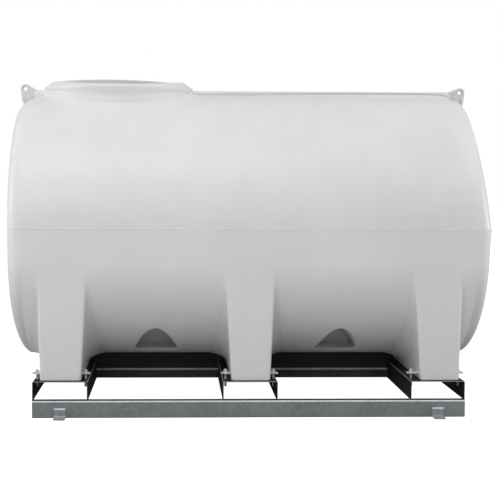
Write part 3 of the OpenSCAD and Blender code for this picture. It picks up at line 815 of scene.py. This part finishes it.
def studSkin(x, y, low, high, r):
    # a round bar whose radius falls in a helical groove: a cosine of the height less the turn
    rows = int((high - low) / thread["pitch"] * thread["steps"])
    z = np.linspace(low + thread["plain"], high - thread["plain"], rows)[:, None]
    a = np.linspace(0, 2 * np.pi, thread["around"], endpoint=False)[None, :]
    radius = r - thread["deep"] * (0.5 - 0.5 * np.cos(2 * np.pi * z / thread["pitch"] - a))
    body = np.stack([x + radius * np.cos(a), y + radius * np.sin(a), np.broadcast_to(z, radius.shape)], -1)
    ends = [np.stack([x + k * np.cos(a[0]), y + k * np.sin(a[0]), np.full(a.shape[1], h)], -1)[None]
            for k, h in ((0.0, low), (r * thread["tip"], low), (r * thread["tip"], high), (0.0, high))]
    return np.concatenate([ends[0], ends[1], body, ends[2], ends[3]])


bar = {"round": 0.0030, "bends": 6, "lengths": 8}


def barSkin(low, high):
    # a flat bar: a rounded cross section carried along X, drawn in at both ends
    r, mid, half = bar["round"], (low + high) / 2, (high - low) / 2
    bends, lengths = bar["bends"], bar["lengths"]
    face = np.radians(np.concatenate([turn + np.linspace(0, 90, bends) for turn in (0, 90, 180, 270)]))
    cornerY = np.sign(np.cos(face + 1e-9)) * (half[1] - r)
    cornerZ = np.sign(np.sin(face + 1e-9)) * (half[2] - r)
    turn = np.radians(np.linspace(0, 90, bends))
    drawn, past = r * (1 - np.sin(turn)), r * (1 - np.cos(turn))
    inset = np.concatenate([[half[2]], drawn, np.zeros(lengths), drawn[::-1], [half[2]]])
    x = np.concatenate([[-half[0]], -half[0] + past, np.linspace(-0.95, 0.95, lengths) * half[0],
                        half[0] - past[::-1], [half[0]]])
    y = cornerY + np.cos(face) * r - np.sign(cornerY) * inset[:, None]
    z = cornerZ + np.sin(face) * r - np.sign(cornerZ) * np.minimum(inset, half[2])[:, None]
    return mid + np.stack([np.broadcast_to(x[:, None], y.shape), y, z], -1)


def fasten(name):
    # the two bars of a leg, and its four studs, each with a nut and a washer on the bar and under the
    # cradle
    barLow, barHigh = boxOf(name + "_leg_bars")
    studLow, studHigh = boxOf(name + "_leg_studs")
    plateLow = cradleTop - skid["plate"]
    width = skid["barDepth"]
    bars = [barSkin(np.array([barLow[0], y, barLow[2]]), np.array([barHigh[0], y + width, barHigh[2]]))
            for y in (barLow[1], barHigh[1] - width)]
    addPiece(name + "LegBars", [(grid, False, True) for grid in bars], zincBrightPaintedLight,
             [name + "_leg_bars"], 50)
    reach = nut["corner"] + skid["nutPlay"]
    patches = []
    for x in (studLow[0] + reach, studHigh[0] - reach):
        for y in (studLow[1] + nut["flat"], studHigh[1] - nut["flat"]):
            patches += [studSkin(x, y, studLow[2], studHigh[2], skid["studR"]),
                        washerSkin(x, y, barHigh[2]), nutSkin(x, y, barHigh[2] + nut["washerH"]),
                        washerSkin(x, y, plateLow - nut["washerH"]),
                        nutSkin(x, y, plateLow - nut["washerH"] - nut["high"])]
    addPiece(name + "LegStuds", [(grid, False, True) for grid in patches], zincBrightPaintedLight,
             [name + "_leg_studs"], 40)


skid = {"plate": 0.006, "barDepth": 0.060, "studR": 0.008, "nutPlay": 0.0003}
for name in ("left", "middle", "right"):
    fasten(name)

# even and wave are the steady and the swelling share of a bead's radius, step the length of one swelling
weld = {"r": 0.0042, "length": 0.060, "inset": 0.004, "step": 0.0055, "rowsPerStep": 5, "around": 10,
        "even": 0.86, "wave": 0.14, "bow": 0.5,
        "anchorShare": 0.7, "anchorLow": 0.018, "anchorHigh": 0.002, "anchorLean": 0.0001}


def weldSkin(start, finish, radius):
    # a bead laid between two points: a round section that swells and sinks along its length
    start, finish = np.array(start, float), np.array(finish, float)
    length = np.linalg.norm(finish - start)
    ahead = (finish - start) / length
    side = np.cross(ahead, [0, 0, 1])
    rows = max(int(length / weld["step"] * weld["rowsPerStep"]), 8)
    t = np.linspace(0, 1, rows)[:, None]
    a = np.linspace(0, 2 * np.pi, weld["around"], endpoint=False)[None, :]
    phase = 2 * np.pi * t * length / weld["step"] + weld["bow"] * np.cos(a)
    swell = radius * (weld["even"] + weld["wave"] * np.cos(phase))
    swell = swell * np.sqrt(np.clip(1 - (2 * t - 1) ** 16, 0, 1))
    across, up = (swell * np.cos(a))[..., None], (swell * np.sin(a))[..., None]
    return start + ahead * (t * length)[..., None] + side * across + np.array([0, 0, 1.0]) * up


def addWelds():
    # along each side of the cradles where they stand on the rails. The beads up the ends of each anchor
    # come out as slivers too thin to see, because weldSkin only gives a section to a bead that lies flat
    beads, r, length, inset = [], weld["r"], weld["length"], weld["inset"]
    for name in ("left", "middle", "right"):
        low, high = boxOf(name + "_cradle")
        for x in (low[0], high[0]):
            for y in (low[1] + inset, high[1] - inset - length):
                beads.append(weldSkin((x, y, railTop), (x, y + length, railTop), r))
    for name in ("front_left", "front_right", "rear_left", "rear_right"):
        low, high = boxOf(name + "_anchor")
        face = high[1] if name.startswith("front") else low[1]
        for x in (low[0], high[0]):
            start = (x, face, low[2] + weld["anchorLow"])
            finish = (x + weld["anchorLean"], face, high[2] - weld["anchorHigh"])
            beads.append(weldSkin(start, finish, r * weld["anchorShare"]))
    addPiece("skidWelds", [(grid, False, True) for grid in beads], anchorSteel)


addWelds()
print("fasteners and welds ready")

# the pieces of the skid that keep the frame's own solids
skidFinish = {"front_rail": railSteel, "rear_rail": railSteel,
              "left_cradle": cradleSteelPaintedShade, "middle_cradle": cradleSteelPaintedShade, "right_cradle": cradleSteelPaintedShade,
              "left_centre_beam": beamSteelPaintedShade, "right_centre_beam": beamSteelPaintedShade,
              "left_bearer": boardPaintedShade, "right_bearer": boardPaintedShade,
              "front_left_anchor": anchorSteel, "front_right_anchor": anchorSteel,
              "rear_left_anchor": anchorSteel, "rear_right_anchor": anchorSteel}
for name, finish in skidFinish.items():
    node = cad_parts[name]
    node.data.materials.clear()
    node.data.materials.append(finish)
print("skid finished")


# the sky goes from low at the horizon to sky at topFrom; right and left are added where their ranges say
studio = {"floor": (0.585, 0.585, 0.585), "floorHalf": 60, "sky": 0.71, "low": 0.30, "topFrom": 0.8,
          "right": 0.34, "rightAcross": (0.45, 0.95), "rightUp": (0.05, 0.5),
          "left": 0.4, "leftAcross": (-0.98, -0.65)}
# each lamp's place, the point it is turned to, its width and its power
lamps = {"keyLamp": ((-2.4, -5.4, 9.5), (0, 0, 1.4), 4.6, 228),
         "frontLamp": ((-2.6, -6.8, 4.2), (0, 0, 1.5), 3.0, 70),
         "sideLamp": ((6.5, -2.0, 6.0), (1.5, 0, 1.6), 3.0, 34),
         "leftRim": ((-6.6, -0.1, 2.3), (-1.5, 0, 1.2), 1.4, 66),
         "rightRim": ((6.6, -0.7, 2.3), (1.5, 0, 1.2), 1.4, 84)}


def stageFloor():
    # a pale floor that takes the tank's shadow and is plain white where it is looked at
    mesh = bpy.data.meshes.new("floor")
    s = studio["floorHalf"]
    mesh.from_pydata([(-s, -s, 0), (s, -s, 0), (s, s, 0), (-s, s, 0)], [], [(0, 1, 2, 3)])
    floor = bpy.data.objects.new("floor", mesh)
    bpy.context.scene.collection.objects.link(floor)
    f = Finish("floorPale")
    plain = f.node("ShaderNodeBsdfDiffuse", None, {"Color": studio["floor"]})
    white = f.node("ShaderNodeEmission", None, {"Color": (1.0, 1.0, 1.0), "Strength": 1.0})
    seen = f.math("MAXIMUM", f.rays("Is Camera Ray"), f.rays("Is Transmission Ray"))
    shown = f.node("ShaderNodeAddShader", None, {0: plain, 1: white})
    mixed = f.node("ShaderNodeMixShader", None, {0: seen, 1: plain, 2: shown})
    f.node("ShaderNodeOutputMaterial", None, {"Surface": mixed}, out=None)
    floor.data.materials.append(f.material)


def skyWorld():
    # bright overhead and softer towards the horizon, with more from the left and from high on the right,
    # where the tank's ends look, and plain white where it is looked at
    f = Finish("sky", world=True)
    bpy.context.scene.world = f.material
    across, _, height = f.axes()
    right = f.ramp(across, *studio["rightAcross"]) * f.ramp(height, *studio["rightUp"])
    left = f.ramp(across, *studio["leftAcross"], 1.0, 0.0)
    strength = f.ramp(height, 0.0, studio["topFrom"], studio["low"], studio["sky"])
    strength = strength + right * studio["right"] + left * studio["left"]
    soft = f.node("ShaderNodeBackground", None, {"Strength": strength})
    white = f.node("ShaderNodeBackground", None, {"Color": (1.0, 1.0, 1.0)})
    mixed = f.node("ShaderNodeMixShader", None, {0: f.rays("Is Camera Ray"), 1: soft, 2: white})
    f.node("ShaderNodeOutputWorld", None, {"Surface": mixed}, out=None)


def softLamp(name, place, aim, size, power):
    # a round area lamp at a place, turned towards its aim
    lamp = bpy.data.lights.new(name, "AREA")
    lamp.shape, lamp.size, lamp.energy = "DISK", size, power
    holder = bpy.data.objects.new(name, lamp)
    holder.location = place
    holder.rotation_mode = "QUATERNION"
    holder.rotation_quaternion = (Vector(aim) - Vector(place)).to_track_quat("-Z", "Y")
    bpy.context.scene.collection.objects.link(holder)


stageFloor()
skyWorld()
for name, (place, aim, size, power) in lamps.items():
    softLamp(name, place, aim, size, power)
print("stage and light ready")

view = {"place": (-0.4845, -9.8223, 1.5473), "turn": 3.098, "tip": -3.0335, "roll": 0.3545,
        "lens": 99.504, "sensor": 36}


def addCamera():
    # turn is measured round the upright axis, tip above the level and roll round the line of sight
    turn, tip, roll = (math.radians(view[k]) for k in ("turn", "tip", "roll"))
    ahead = Vector((math.sin(turn) * math.cos(tip), math.cos(turn) * math.cos(tip), math.sin(tip)))
    right = Vector((math.cos(turn), -math.sin(turn), 0))
    up = right.cross(ahead)
    right, up = (right * math.cos(roll) + up * math.sin(roll),
                 up * math.cos(roll) - right * math.sin(roll))
    data = bpy.data.cameras.new("camera")
    data.lens, data.sensor_width = view["lens"], view["sensor"]
    camera = bpy.data.objects.new("camera", data)
    camera.matrix_world = Matrix((right, up, -ahead)).transposed().to_4x4()
    camera.location = view["place"]
    bpy.context.scene.collection.objects.link(camera)
    bpy.context.scene.camera = camera


addCamera()
bpy.context.scene.view_settings.view_transform = "Standard"
